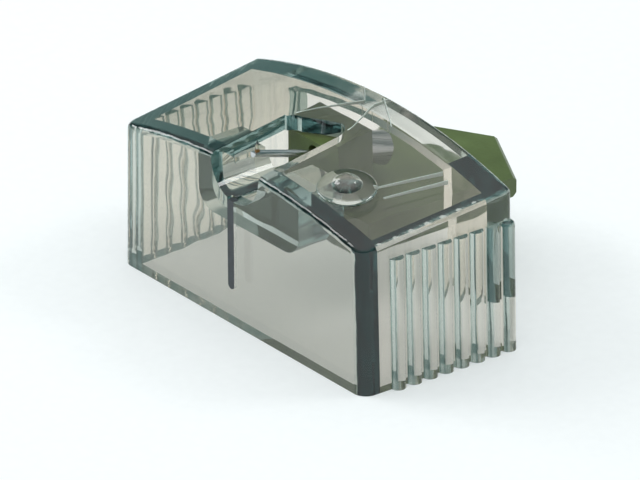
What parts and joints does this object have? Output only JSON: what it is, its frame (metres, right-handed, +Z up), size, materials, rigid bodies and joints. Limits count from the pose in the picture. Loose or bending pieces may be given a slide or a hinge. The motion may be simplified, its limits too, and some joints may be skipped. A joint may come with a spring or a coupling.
{
  "type": "turntable stylus",
  "caption": "Replacement stylus for a moving-magnet cartridge: smoky clear ribbed grip with a notched arched roof, green plug-in carrier and a sprung cantilever with its tip.",
  "frame": {"origin": "on the table, under the middle of the overall box", "axes": "+X along the grip, +Y from the notched front towards the pointed tail, +Z up from the open rim to the record side"},
  "size_m": [0.0168, 0.0136, 0.0081],
  "materials": {
    "smoky_clear_plastic": "polished, smoky and clear",
    "cue_paint": "dark paint",
    "green_plastic": "moulded, slightly translucent",
    "sleeve_steel": "drawn tube",
    "damper_rubber": "moulded",
    "cantilever_aluminium": "drawn tube",
    "diamond": "polished",
    "cement": "cured resin",
    "magnet_metal": "sintered",
    "wire_steel": "drawn wire",
    "anchor_brass": "turned"
  },
  "bodies": {
    "grip": {"grip_housing": "smoky_clear_plastic", "cue_line": "cue_paint", "stylus_carrier": "green_plastic", "pivot_sleeve": "sleeve_steel", "suspension_wire": "wire_steel", "wire_anchor": "anchor_brass"},
    "damper": {"suspension_damper": "damper_rubber"},
    "armature": {"cantilever": "cantilever_aluminium", "diamond_tip": "diamond", "tip_cement": "cement", "armature_magnet": "magnet_metal"}
  },
  "joints": [
    {"name": "sideways_sway", "type": "hinge", "parent": "grip", "child": "damper", "pos_m": [-0.00025, -0.0016, 0.00602], "axis": [0, 0.2924, 0.9563], "range_deg": [-3, 3], "stiffness_Nm_per_rad": 0.001},
    {"name": "vertical_sway", "type": "hinge", "parent": "damper", "child": "armature", "pos_m": [-0.00025, -0.0016, 0.00602], "axis": [1, 0, 0], "range_deg": [-3, 3], "stiffness_Nm_per_rad": 0.001}
  ]
}
